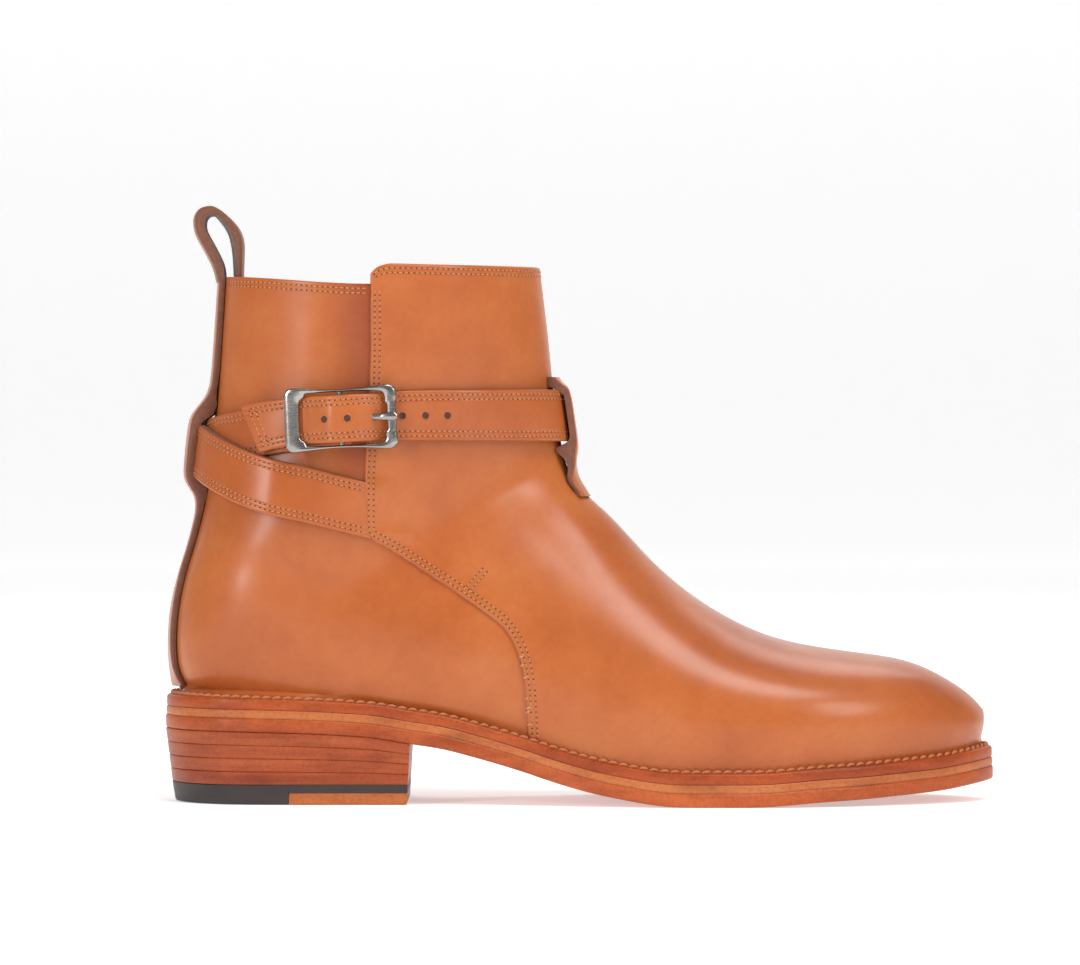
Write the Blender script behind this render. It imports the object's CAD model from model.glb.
"""Looks of the jodhpur boot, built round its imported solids.

The tables give millimetres, with X from the sole's rear end, as the part's own source
does. HEEL_CENTRE is taken off and the result scaled to metres where a piece is made.
"""

import math

import bmesh
import bpy
import numpy as np
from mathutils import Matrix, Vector
from mathutils.bvhtree import BVHTree

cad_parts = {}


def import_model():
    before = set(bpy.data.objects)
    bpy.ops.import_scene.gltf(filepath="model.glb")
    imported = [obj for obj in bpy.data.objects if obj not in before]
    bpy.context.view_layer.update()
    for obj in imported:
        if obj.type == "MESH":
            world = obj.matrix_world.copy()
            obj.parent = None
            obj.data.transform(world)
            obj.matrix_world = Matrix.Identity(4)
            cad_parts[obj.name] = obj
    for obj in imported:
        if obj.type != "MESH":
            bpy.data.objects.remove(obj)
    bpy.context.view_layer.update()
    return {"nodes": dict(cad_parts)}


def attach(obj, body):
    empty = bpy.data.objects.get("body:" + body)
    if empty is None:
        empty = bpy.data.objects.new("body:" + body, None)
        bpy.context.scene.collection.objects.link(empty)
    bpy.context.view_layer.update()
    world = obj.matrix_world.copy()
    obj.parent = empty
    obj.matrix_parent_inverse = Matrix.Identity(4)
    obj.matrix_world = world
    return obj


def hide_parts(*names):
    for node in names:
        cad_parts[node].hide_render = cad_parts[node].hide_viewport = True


MM = 0.001
HEEL_CENTRE = 42.0
SOLE_LENGTH = 305.0

# Sole stack
OUTSOLE_THICK = 5.0
MIDSOLE_THICK = 3.0
# Profiles of two layers: inset, share of the height, millimetres more
OUTSOLE_PROFILE = [
    (1.6, 0, 0), (0.5, 0, 0.12), (0.12, 0, 0.5), (0, 0, 1.1),
    (0, 1, -0.9), (0.12, 1, -0.35), (0.45, 1, 0.0),
]
MIDSOLE_PROFILE = [
    (0.6, 0, 0.02), (0.3, 0, 0.35), (0.2, 0, 0.9),
    (0.2, 1, -0.7), (0.3, 1, -0.2), (0.6, 1, 0.12),
]
WELT_THICK = 4.2
WELT_OUTER_INSET = 0.3
WELT_INNER_INSET = 6.4
WELT_STITCH_INSET = 2.4
BREAST_TOP = 90.5
BREAST_LEAN = 0.052
HEEL_TAPER = 3.3
TOP_PIECE_HEIGHT = 7.2
INSERT_HEIGHT = 4.2
INSERT_START = 46.5
LIFTS = 4

# Upper
QUARTER_WALL = 1.6
VAMP_STEP = 1.3
UPPER_INSET = 5.5
SIDE_SWELL = 2.4
TOE_ROUNDING = 1.6
TOE_START = 280.0
TOE_BLEND = 14.0
FOOT_GAP = 0.8
COLLAR_ROUNDING = 0.7

# The flaps rise over the straps that go under them: middle and half of the height, how
# far in from the edge, and by how much
ROOT_HEIGHT = 107.2
ROOT_HALF = 13.5
ROOT_REACH = 12.0
ROOT_LIFT = 1.2

# Straps
STRAP_THICK = 2.8
STRIP_THICK = 2.1
# The straps' turns are measured round this upright line
SHAFT_AXIS_X = 80.0

# Half-widths of the sole's outline: x, lateral, medial
OUTLINE = [
    (0, 0, 0), (3, 14.5, 14.5), (10, 25, 25), (24, 34, 33.5), (42, 36.5, 35.5), (75, 36, 34),
    (110, 36.5, 29.5), (140, 41, 31.5), (170, 47.5, 40.5), (200, 51, 49), (222, 50.5, 52.5),
    (245, 45.5, 51), (270, 34.5, 41.5), (287, 23.5, 32), (297, 13.5, 23.5), (302.5, 4, 15.5),
    (305, -5.5, 5.5),
]

# Height of the outsole's underside: x, z
UNDERSIDE = [
    (0, 26.9), (25, 26.6), (50, 26.0), (75, 24.6), (90.5, 22.2), (101.5, 20.5), (116, 16.8),
    (130.5, 12.6), (145, 7.9), (157, 4.7), (168, 2.5), (178, 0.85), (186, 0.1), (191, 0.0),
    (212, 0.0), (218, 0.1), (228, 0.75), (239, 1.6), (254, 2.4), (269, 3.5), (284, 4.7), (299, 6.8),
    (305, 7.6),
]

# How far the welt's top rises from its edge to the upper: x, rise
WELT_RISE = [(0, 1.6), (40, 0.6), (90, 0.2), (160, 0.6), (200, 0.7), (254, 0.9), (284, 1.2), (305, 2.0)]

# Ribs of the upper's form, a row for each: they fan from the collar round the heel to the
# toe. ridge_x, ridge_z on the front line; base_x, base_z on the back line, then along the
# sole; half-widths lateral and medial (None: SIDE_SWELL beyond the foot line); widest, the
# share of the rib's height where that is; front and back, roundness of its two parts;
# open, 0 for a rib that closes round the back and 1 for one that stands on the sole;
# lean, the ridge's shift to the medial side.
RIBS = [
    (135.9, 205.0, 22.4, 202.0, 39.0, 39.0, 0.50, 1.75, 2.1, 0.0, 0.0),
    (136.4, 196.0, 21.6, 192.0, 39.0, 39.0, 0.50, 1.75, 2.1, 0.0, 0.0),
    (138.2, 181.0, 20.5, 175.0, 38.3, 38.5, 0.50, 1.75, 2.1, 0.0, 0.0),
    (139.7, 168.0, 19.0, 155.0, 37.5, 38.0, 0.50, 1.75, 2.1, 0.0, 0.0),
    (140.7, 157.0, 17.5, 135.0, 36.8, 37.5, 0.52, 1.75, 2.1, 0.0, 0.0),
    (141.7, 148.5, 14.6, 112.0, 36.3, 37.0, 0.54, 1.75, 2.2, 0.0, 0.0),
    (142.6, 142.0, 10.9, 96.0, 36.0, 36.6, 0.56, 1.75, 2.3, 0.0, 0.0),
    (143.3, 137.5, 5.9, 80.0, 35.6, 36.0, 0.58, 1.75, 2.3, 0.0, 0.0),
    (143.8, 134.2, 3.6, 68.0, 35.2, 35.5, 0.60, 1.75, 2.3, 0.0, 0.0),
    (144.2, 131.5, 3.0, 57.0, 34.8, 34.8, 0.61, 1.75, 2.3, 0.0, 0.0),
    (144.6, 129.2, 3.6, 48.0, 34.5, 34.3, 0.62, 1.75, 2.3, 0.0, 0.0),
    (145.1, 126.8, 5.5, 39.5, 34.3, 34.0, 0.63, 1.75, 2.3, 0.0, 0.0),
    (145.8, 124.0, 9.0, 40.5, 34.3, 33.8, 0.65, 1.75, 2.3, 0.35, 0.0),
    (146.3, 122.5, 18.0, 40.0, 34.5, 33.8, 0.66, 1.75, 2.3, 0.5, 0.0),
    (147.2, 119.8, 36.0, 38.8, 34.8, 33.8, 0.67, 1.75, 2.3, 1.0, 0.0),
    (149.2, 115.6, 60.0, 37.3, 34.9, 33.4, 0.68, 1.75, 2.3, 1.0, 0.0),
    (152.5, 111.9, 84.0, 35.0, 35.2, 33.2, 0.68, 1.75, 2.3, 1.0, 0.0),
    (158.2, 107.9, 108.0, 31.9, 36.0, 32.8, 0.70, 1.75, 2.3, 1.0, 0.5),
    (167.5, 98.4, 135.0, 23.6, 39.0, 33.6, 0.71, 1.80, 2.3, 1.0, 1.0),
    (181.2, 83.8, 165.0, 16.5, 43.8, 38.0, 0.71, 1.90, 2.3, 1.0, 2.0),
    (199.4, 69.7, 194.0, 13.0, None, None, 0.70, 2.00, 2.3, 1.0, 3.5),
    (225.0, 57.6, 223.0, 13.5, None, None, 0.68, 2.15, 2.3, 1.0, 5.5),
    (250.0, 53.2, 250.0, 15.2, None, None, 0.66, 2.30, 2.3, 1.0, 7.0),
    (270.0, 50.5, 270.0, 16.8, None, None, 0.64, 2.40, 2.3, 1.0, 7.5),
    (284.0, 45.0, 284.5, 18.2, None, None, 0.62, 2.40, 2.3, 1.0, 7.0),
    (292.5, 39.8, 292.5, 19.4, None, None, 0.60, 2.30, 2.3, 1.0, 6.5),
    (297.6, 35.6, 297.4, 20.4, None, None, 0.58, 2.20, 2.3, 1.0, 6.2),
    (300.0, 30.5, 299.5, 21.5, None, None, 0.55, 2.00, 2.3, 1.0, 6.0),
]
CLOSED_RIBS = 12

# The grid on the ribs: rows from each rib to the next, columns on each side and how they
# crowd at the ridge, the rows evened across each other, and how often each evening runs
ROWS_BETWEEN = [6] * 11 + [4] * 6 + [12, 8] + [6] * 8
HALF_COLUMNS = 56
COLUMN_SPREAD = 1.15
RIB_PASSES = 6
EVENED_ROWS = (40, 100)
EVENED_PASSES = 60
TOE_PASSES = 22

# Edge of the vamp's side flaps in the side view, from the floor up: z, x
FLAP_EDGE = [
    (24.0, 133.5), (30, 133.2), (42.4, 132.4), (52.5, 130.6), (60, 127.6), (65, 124.0),
    (70.5, 117.2), (78.6, 105.2), (86, 93.8), (92.5, 83.6), (96.6, 76.6), (98.8, 74.6), (102, 74.1),
    (116, 74.1), (130, 74.6), (142, 75.3), (155, 76.1), (170, 76.4), (187, 76.4),
]
# Top edge of the vamp, with the flap's rounded corner: x, z
VAMP_TOP = [
    (75.2, 187.5), (75.6, 190.4), (76.8, 193.3), (79.6, 195.6), (84, 196.6), (100, 196.3),
    (150, 195.8),
]
QUARTER_TOP = [(-20, 194.0), (27.7, 192.1), (75, 189.2), (150, 189.0)]

# Straps, a row for each place along them: degrees round the shaft from its front by way of
# the lateral side, height of the middle, width, gap to the quarters
WRAP_STRAP = [
    (96.6, 106.8, 20.5, 0.5), (112, 109.5, 20.5, 0.5), (128, 113.0, 20.5, 1.2),
    (140, 115.6, 20.2, 3.6), (150, 119.2, 19.6, 3.9), (163, 125.0, 19.2, 3.9),
    (172, 128.4, 19.0, 3.9), (180, 129.5, 19.0, 3.9), (188, 130.4, 19.0, 3.9),
    (197, 132.0, 19.0, 3.9), (212, 134.4, 19.0, 3.9), (222, 135.6, 19.0, 3.9),
    (234, 137.0, 19.0, 2.0), (245, 138.2, 19.0, 1.0), (262, 139.6, 19.0, 1.8),
    (300, 141.2, 19.0, 1.9), (345, 141.5, 19.0, 2.2), (360, 141.5, 19.0, 2.5),
    (375, 141.5, 19.0, 2.2), (410, 141.5, 18.6, 1.9), (436, 141.4, 18.2, 1.8),
    (446, 141.1, 17.8, 1.8), (450, 141.0, 17.4, 2.6), (456, 140.8, 17.2, 5.0),
    (461, 140.7, 17.2, 6.9), (467, 140.5, 17.2, 8.3), (474, 140.2, 17.2, 8.3),
    (483, 139.9, 17.2, 5.2), (488, 139.6, 17.2, 3.9), (500, 138.2, 17.4, 3.9),
    (508, 136.6, 17.0, 3.9),
]
BUCKLE_STRAP = [
    (263.4, 106.8, 20.5, 0.5), (248, 109.5, 20.5, 0.5), (232, 113.0, 20.5, 0.5),
    (218, 116.6, 20.2, 0.5), (207, 120.4, 19.6, 0.5), (197, 125.0, 19.2, 0.5),
    (188, 128.4, 19.0, 0.5), (180, 129.5, 19.0, 0.5), (172, 130.6, 19.0, 0.5),
    (163, 132.6, 18.6, 0.5), (150, 135.0, 18.0, 0.5), (135, 137.4, 18.0, 0.5),
    (120, 139.3, 18.0, 0.5), (106, 140.2, 18.0, 0.5),
]
TIP_SLANT = 8.0
# Degrees over which the tip slants, and over which a strap thins towards its root
TIP_TURNS = 14.0
THIN_TURNS = 9.0
STRAP_HOLES = [59.9, 68.2, 88.0, 96.2, 104.2]
HOLE_RADIUS = 1.35
STITCH_PITCH = 2.0
STITCH_ROWS = (1.8, 3.5)
FLAP_ROWS = (1.6, 3.4)
COLLAR_ROWS = (1.7, 3.4)
STITCH_SINK = 0.08

# Frayed fibres on the lateral flap's edge: height and reach into the vamp
EDGE_NICKS = [
    (53.5, 1.9), (50.4, 1.2), (46.0, 1.6), (38.2, 1.0), (35.0, 2.0), (33.4, 1.3), (28.8, 1.8),
]

# Back strip and front keeper from bottom to top: height, gap to the quarters, and
# for the keeper how flat it lies, 0 where it follows the quarters and 1 where it is flat
BACK_STRIP = [
    (42.0, 0.3), (48, 0.4), (60, 0.4), (80, 0.4), (95, 0.4), (104, 0.5), (108, 0.8), (112, 2.2),
    (115, 4.6), (118, 6.6), (121, 7.3), (126, 7.6), (131, 7.7), (136, 7.6), (140, 7.2), (143, 5.9),
    (146, 3.7), (149, 1.8), (153, 0.7), (160, 0.4), (175, 0.4), (190.7, 0.4),
]
FRONT_KEEPER = [
    (111.8, 0.8, 0.2), (113.6, 1.4, 0.3), (115.2, 1.7, 0.3), (118, 1.9, 0.4), (121, 2.4, 0.7),
    (124.5, 3.3, 0.9), (127.5, 4.7, 0.9), (130.4, 5.7, 0.9), (136, 5.8, 0.9), (141, 5.8, 0.9),
    (147, 5.8, 0.9), (151.6, 5.6, 0.9), (153.4, 2.8, 0.6), (155.6, 1.9, 0.3),
]
# How deep the back strip's edge looks at each height: height, outer face less inner face
BACK_STRIP_DEPTH = [
    (42.0, 2.1), (104, 2.2), (108, 2.6), (112, 4.2), (115, 5.8), (118, 4.8), (121, 3.2), (126, 2.9),
    (136, 2.9), (139, 4.0), (142, 6.8), (145, 6.0), (148, 3.6), (152, 2.2), (190.7, 2.1),
]
FRONT_KEEPER_DEPTH = [
    (115.2, 2.2), (122, 2.6), (125.4, 4.4), (129.2, 8.0), (131.8, 3.6), (134, 2.5), (148.6, 2.5),
    (150.8, 4.6), (152.6, 7.6), (154, 4.6), (155.6, 2.6),
]
STRIP_SOFTNESS = 2.5
BACK_STRIP_WIDTH = 18.0
FRONT_KEEPER_WIDTH = 15.0

# Pull loop in the side view, from its outer foot round to the foot inside the collar
PULL_LOOP = [
    (18.6, 190.2, 21.0, 190.2), (17.6, 194.5, 20.6, 195.8), (15.6, 199.0, 18.6, 200.6),
    (12.6, 204.4, 15.9, 205.8), (10.2, 209.6, 13.6, 210.2), (10.0, 214.0, 13.6, 212.6),
    (12.4, 217.8, 15.0, 214.8), (16.5, 218.6, 17.6, 215.0), (21.7, 214.9, 20.0, 212.6),
    (26.4, 209.4, 23.0, 208.2), (27.6, 204.2, 24.2, 203.0), (27.4, 198.0, 24.8, 197.0),
    (27.2, 190.0, 25.0, 190.0), (27.1, 178.0, 24.9, 178.0),
]
PULL_LOOP_WIDTH = 18.0
PULL_LOOP_BOW = 1.5

# Buckle
BUCKLE_CENTRE = (66.0, 140.4)
BUCKLE_SIZE = (40.7, 23.4)
BUCKLE_THICK = 2.4
BUCKLE_LIFT = 6.7
LEFT_BAR = 5.4
RIGHT_BAR = 4.3
CENTRE_BAR_RADIUS = 0.95

# Soft hand-placed forms of the leather: x, z, half-length, half-breadth, turn in degrees,
# depth (negative for a trough), side (-1 lateral, 1 medial, 0 both)
SOFT_FORMS = [
    (67.5, 166, 24, 5.5, 90, -1.1, 0), (55, 160, 20, 9, 95, 0.5, 0),
    (104, 172, 20, 10, 88, 0.35, 0), (120, 158, 16, 5, 100, -0.3, 0), (70, 96, 26, 8, -24, 0.6, 0),
    (40, 84, 22, 7, -15, -0.5, 0), (150, 104, 18, 5, -52, 0.45, 0), (139, 96, 18, 5, -48, -0.45, 0),
    (206, 60, 7, 14, -12, -0.35, 0), (222, 50, 8, 14, 10, 0.3, 0), (126, 58, 12, 6, -60, 0.35, 0),
]

# Camera and stage, in metres, with the camera's tilt in degrees
CAMERA_LENS = 208.2
CAMERA_PLACE = (0.09575, -2.3, 0.142)
CAMERA_DOWN = 0.628
FLOOR_FRONT = -4.5
FLOOR_BACK = 3.6
FLOOR_SIDES = (-5.0, 5.2)
FLOOR_DROP = 0.0001
FLOOR_COLOUR = (0.94, 0.94, 0.94)
FLOOR_GLOW = 0.43
BACKDROP_RADIUS = 0.8
BACKDROP_TOP = 4.2
WORLD_LIGHT = 0.28

# Lights: name, place, what it is turned to, size, watts
LIGHTS = [
    ("left_window", (-1.3, -1.6, 0.75), (0.0, 0, 0.09), (0.3, 1.0), 18),
    ("right_window", (1.5, -1.3, 1.1), (0.18, 0, 0.06), (0.35, 1.0), 12),
    ("top_window", (0.55, -0.75, 1.75), (0.12, 0, 0.03), (0.9, 0.6), 17),
    ("back_window", (0.3, 1.4, 1.7), (0.1, 0, 0.05), (1.6, 0.8), 10),
]

WHITE = (1.0, 1.0, 1.0)
# Matt leathers: key, name, darkest and lightest colour, roughness
ROUGH_LEATHERS = [
    ("edge", "cut_edge", (0.2, 0.06, 0.02), (0.36, 0.12, 0.045), 0.6),
    ("dark_edge", "dark_edge", (0.12, 0.035, 0.016), (0.2, 0.065, 0.03), 0.55),
    ("lining", "lining", (0.42, 0.2, 0.09), (0.55, 0.29, 0.14), 0.8),
    ("flesh", "flesh_side", (0.1, 0.07, 0.055), (0.24, 0.17, 0.14), 0.95),
    ("fray", "frayed_edge", (0.42, 0.24, 0.16), (0.62, 0.4, 0.29), 0.9),
    ("hole", "needle_hole", (0.05, 0.016, 0.008), (0.11, 0.035, 0.014), 0.9),
]
# Sole leathers: name, dark, main and light colour, stretch of the streaks
SOLE_LEATHERS = [
    ("outsole", (0.322, 0.0552, 0.0118), (0.43, 0.0861, 0.0197), (0.522, 0.123, 0.0316), (0.3, 0.3, 2)),
    ("midsole", (0.414, 0.104, 0.0276), (0.491, 0.141, 0.0394), (0.553, 0.184, 0.0592), (0.3, 0.3, 2)),
    ("welt", (0.277, 0.0429, 0.00789), (0.384, 0.0675, 0.0126), (0.476, 0.104, 0.0237), (0.4, 0.4, 3)),
    ("lift", (0.23, 0.0368, 0.0087), (0.354, 0.0675, 0.0177), (0.461, 0.11, 0.0335), (0.25, 0.25, 5)),
    ("insert", (0.338, 0.0796, 0.0237), (0.407, 0.104, 0.0316), (0.476, 0.147, 0.0473), (0.5, 0.5, 4)),
]


def soft_step(t):
    return t * t * (3 - 2 * t)


def smooth(table_x, table_y, x):
    """Reads a table between its rows, along a curve that doesn't overshoot a row."""
    xs = np.asarray(table_x, float)
    ys = np.asarray(table_y, float)
    step = np.diff(xs)
    rise = np.diff(ys) / step
    slope = np.concatenate([[rise[0]], np.zeros(len(xs) - 2), [rise[-1]]])
    before, after = rise[:-1], rise[1:]
    same_way = before * after > 0
    slope[1:-1][same_way] = 2 * (before * after)[same_way] / (before + after)[same_way]
    x = np.clip(x, xs[0], xs[-1])
    k = np.clip(np.searchsorted(xs, x, side="right") - 1, 0, len(xs) - 2)
    t = (x - xs[k]) / step[k]
    start = (1 + 2 * t) * (1 - t) ** 2 * ys[k] + t * (1 - t) ** 2 * step[k] * slope[k]
    end = soft_step(t) * ys[k + 1] - t * t * (1 - t) * step[k] * slope[k + 1]
    return start + end


def unit(vectors):
    return vectors / np.linalg.norm(vectors, axis=1)[:, None]


def ease(count):
    """Shares from 0 to 1 that lie closer together at both ends."""
    return (1 - np.cos(math.pi * np.linspace(0, 1, count))) / 2


def circle(count):
    """Even places round a circle, as cosine and sine."""
    angles = [2 * math.pi * k / count for k in range(count)]
    return [(math.cos(angle), math.sin(angle)) for angle in angles]


def column(table, index):
    return [row[index] for row in table]


def row_curves(table, spots):
    """Each column of a table read along its row numbers, at places between the rows."""
    return [smooth(range(len(table)), column(table, c), spots) for c in range(len(table[0]))]


def read(table, x, index=1):
    return smooth(column(table, 0), column(table, index), x)


def underside(x):
    return read(UNDERSIDE, x)


def midsole_top(x):
    return underside(x) + OUTSOLE_THICK + MIDSOLE_THICK


def welt_top(x):
    return midsole_top(x) + WELT_THICK + read(WELT_RISE, x)


def outline_side(side, count=900):
    """One side of the outline as points (x, y): side 1 is lateral, 2 medial."""
    rows = np.arccos(1 - 2 * np.array(column(OUTLINE, 0), float) / SOLE_LENGTH) / math.pi
    shares = np.linspace(0, 1, count)
    y = smooth(rows, column(OUTLINE, side), shares)
    x = SOLE_LENGTH * (1 - np.cos(math.pi * shares)) / 2
    return np.stack([x, -y if side == 1 else y], axis=1)


def inset_side(side, inset):
    """The same side moved in by inset, as points with rising x."""
    points = outline_side(side)
    heading = np.gradient(points, axis=0)
    heading[0], heading[-1] = (0, heading[0][1]), (0, heading[-1][1])
    heading = unit(heading)
    inward = np.stack([-heading[:, 1], heading[:, 0]], axis=1)
    moved = points + inward * (inset if side == 1 else -inset)
    moved[:, 0] = np.clip(moved[:, 0], inset, SOLE_LENGTH - inset)
    moved[:, 0] = np.maximum.accumulate(moved[:, 0])
    return moved


def half_widths(x, inset):
    """y of the lateral and the medial side at x, both moved in by inset."""
    lateral = inset_side(1, inset)
    medial = inset_side(2, inset)
    y_lateral = np.interp(x, lateral[:, 0], lateral[:, 1])
    y_medial = np.interp(x, medial[:, 0], medial[:, 1])
    tip = outline_side(1)[-1][1]
    at_tip = np.asarray(x) > SOLE_LENGTH - inset - 1e-6
    at_heel = np.asarray(x) < inset + 1e-6
    y_lateral = np.where(at_tip, tip, np.where(at_heel, 0.0, y_lateral))
    y_medial = np.where(at_tip, tip, np.where(at_heel, 0.0, y_medial))
    crossed = y_lateral > y_medial
    middle = (y_lateral + y_medial) / 2
    return np.where(crossed, middle, y_lateral), np.where(crossed, middle, y_medial)


def breast_x(z):
    return BREAST_TOP - (underside(BREAST_TOP) - z) * BREAST_LEAN


def heel_inset(z):
    return HEEL_TAPER * (1 - z / underside(0.0))


def softened(values, passes):
    """Evens out small kinks along a row of values, and leaves its two ends as they are."""
    for _ in range(passes):
        values[1:-1] = (values[:-2] + 2 * values[1:-1] + values[2:]) / 4
    return values


def rib_places(per_row):
    """The columns of RIBS at each row and between the rows, with the foot line."""
    places = []
    for i, more in enumerate(per_row):
        places += [i + k / more for k in range(more)]
    places = np.array(places + [len(RIBS) - 1.0])
    standing = places >= CLOSED_RIBS
    feet = places > CLOSED_RIBS - 1
    table = []
    for row in RIBS:
        lateral, medial = half_widths(row[2], UPPER_INSET)
        swell = SIDE_SWELL if row is not RIBS[-1] else 0.0
        wide_lateral = lateral - swell if row[4] is None else -row[4]
        wide_medial = medial + swell if row[5] is None else row[5]
        table.append(row[:4] + (wide_lateral, wide_medial) + row[6:])
    values = [softened(line, RIB_PASSES) for line in row_curves(table, places)]
    base_x, base_z, wide_lateral, wide_medial = values[2:6]
    base_z = np.where(standing, np.maximum(base_z, welt_top(base_x) + 0.7), base_z)
    foot_lateral, foot_medial = half_widths(base_x, UPPER_INSET)
    foot_lateral = np.where(feet, foot_lateral, 0.0)
    foot_medial = np.where(feet, foot_medial, 0.0)
    wide_lateral = np.minimum(wide_lateral, foot_lateral)
    wide_medial = np.maximum(wide_medial, foot_medial)
    full_drop = base_z - midsole_top(base_x) - FOOT_GAP
    drop = full_drop * np.clip(places - CLOSED_RIBS + 1, 0, 1)
    values[3:6] = base_z, wide_lateral, wide_medial
    return list(zip(*values)), list(zip(foot_lateral, foot_medial, drop))


def half_rib(ridge_y, wide, foot, widest, front, back, open_, count=160):
    """One side of a rib: how far it is down the rib, 0 to 1, and its y."""
    turn = np.linspace(0, math.pi / 2, count)
    sine, cosine = np.sin(turn), np.maximum(np.cos(turn), 0.0)
    down_front = widest * (1 - cosine ** (2 / front))
    y_front = ridge_y + (wide - ridge_y) * sine ** (2 / front)
    t = turn / (math.pi / 2)
    inwards = (1 - open_) * cosine ** (2 / back) + open_ * (1 - t * t)
    onwards = (1 - open_) * sine ** (2 / back) + open_ * t
    down_back = widest + (1 - widest) * onwards
    y_back = foot + (wide - foot) * inwards
    return np.append(down_front, down_back[1:]), np.append(y_front, y_back[1:])


def form_grid(per_row, half_count):
    """Points of the quarters' outer surface: a row for each rib, from the lateral foot
    over the ridge to the medial foot, evenly spaced along the rib."""
    shares = np.linspace(0, 1, half_count + 1) ** COLUMN_SPREAD
    grid = []
    for rib, (foot_lateral, foot_medial, drop) in zip(*rib_places(per_row)):
        (ridge_x, ridge_z, base_x, base_z, wide_lateral, wide_medial) = rib[:6]
        (widest, front, back, open_, lean) = rib[6:]
        length = math.hypot(base_x - ridge_x, base_z - ridge_z)
        sides = []
        for wide, foot in ((wide_lateral, foot_lateral), (wide_medial, foot_medial)):
            down, y = half_rib(lean, wide, foot, widest, front, back, open_)
            walked = np.concatenate([[0], np.cumsum(np.hypot(np.diff(down) * length, np.diff(y)))])
            down = np.interp(shares * walked[-1], walked, down)
            y = np.interp(shares * walked[-1], walked, y)
            x = ridge_x + down * (base_x - ridge_x)
            z = ridge_z + down * (base_z - ridge_z)
            sides.append(list(zip(x, y, z)) + [(base_x, foot, base_z - drop)])
        grid.append(sides[0][::-1] + sides[1][1:])
    return np.array(grid)


def outward(grid):
    """A unit normal at each point of a grid, shared where points fall together."""
    normal = np.zeros_like(grid)
    across = grid[1:, 1:] - grid[:-1, :-1]
    back = grid[1:, :-1] - grid[:-1, 1:]
    face = np.cross(back, across)
    for rows in (slice(0, -1), slice(1, None)):
        for columns in (slice(0, -1), slice(1, None)):
            normal[rows, columns] += face
    keys = np.round(grid.reshape(-1, 3), 3) + 0.0
    _, index = np.unique(keys, axis=0, return_inverse=True)
    index = index.reshape(-1)
    total = np.zeros((index.max() + 1, 3))
    np.add.at(total, index, normal.reshape(-1, 3))
    normal = total[index].reshape(grid.shape)
    return normal / np.maximum(np.linalg.norm(normal, axis=2), 1e-9)[..., None]


def soft_depth(points, normal):
    """How far the soft forms move each point along its normal."""
    depth = np.zeros(points.shape[:2])
    for x, z, half_length, half_breadth, turn, height, side in SOFT_FORMS:
        angle = math.radians(turn)
        along = (points[..., 0] - x) * math.cos(angle) + (points[..., 2] - z) * math.sin(angle)
        across = (points[..., 2] - z) * math.cos(angle) - (points[..., 0] - x) * math.sin(angle)
        hill = np.exp(-((along / half_length) ** 2) - (across / half_breadth) ** 2)
        facing = np.clip(np.abs(normal[..., 1]) * 1.6 - 0.2, 0, 1)
        if side:
            facing = facing * (normal[..., 1] * side > 0)
        depth += height * hill * facing
    return depth


def evened(grid, rows, passes):
    """Evens out a band of ribs across each other, most in its middle; the ends stay."""
    first, last = rows
    share = np.sin(math.pi * np.linspace(0, 1, last - first + 1))[1:-1, None, None] ** 0.5
    for _ in range(passes):
        band = grid[first : last + 1, 2:-2]
        middle = (band[:-2] + 2 * band[1:-1] + band[2:]) / 4
        band[1:-1] += (middle - band[1:-1]) * share
    return grid


def rounded_toe(grid, passes):
    """Closes and evens the toe's front, where the last rib's two halves meet."""
    grid[-1] = (grid[-1] + grid[-1][::-1]) / 2
    share = soft_step(np.clip((grid[..., 0] - TOE_START) / TOE_BLEND, 0, 1))
    share[:, :2] = 0
    share[:, -2:] = 0
    for _ in range(passes):
        wide = np.pad(grid, ((1, 1), (1, 1), (0, 0)), "edge")
        wide[-1, 1:-1] = grid[-2][::-1]
        around = (wide[:-2, 1:-1] + wide[2:, 1:-1] + wide[1:-1, :-2] + wide[1:-1, 2:]) / 4
        grid = grid + share[..., None] * 0.6 * (around - grid)
    return grid


def upper_form():
    """The quarters' outer surface as an array of rows: point and normal, six numbers."""
    grid = form_grid(ROWS_BETWEEN, HALF_COLUMNS)
    grid = evened(grid, EVENED_ROWS, EVENED_PASSES)
    grid = rounded_toe(grid, TOE_PASSES)
    toe = np.clip((grid[..., 0] - 288) / 12, 0, 1)
    grid[..., 0] += TOE_ROUNDING * toe * toe * np.exp(-(((grid[..., 2] - 29) / 6) ** 2))
    normal = outward(grid)
    grid = grid + normal * soft_depth(grid, normal)[..., None]
    return np.concatenate([grid, outward(grid)], axis=2)


def between(line, places):
    """Reads rows of a line at places between them."""
    low = np.clip(np.floor(places).astype(int), 0, len(line) - 2)
    share = (places - low)[:, None]
    return line[low] * (1 - share) + line[low + 1] * share


def cut_top(form, top, rows):
    """Each column starts where it meets the top line, closely spaced at first."""
    near = np.array([0, 0.0025, 0.006, 0.012, 0.02, 0.032])
    shares = np.concatenate([near, np.linspace(0.05, 1, rows + 1 - len(near))])
    cut = form.copy()
    for j in range(form.shape[1]):
        line = form[:, j]
        above = line[:, 2] - read(top, line[:, 0])
        k = int(np.flatnonzero(above < 0)[0])
        start = k - 1 + above[k - 1] / (above[k - 1] - above[k]) if k else 0.0
        cut[: rows + 1, j] = between(line, start + (rows - start) * shares)
    return cut


def distances(points):
    """How far along a line each of its points is."""
    return np.concatenate([[0], np.cumsum(np.linalg.norm(np.diff(points, axis=0), axis=1))])


def resampled(points, walked, spots):
    columns = [np.interp(spots, walked, values) for values in points.T]
    return np.stack(columns, axis=1)


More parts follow.
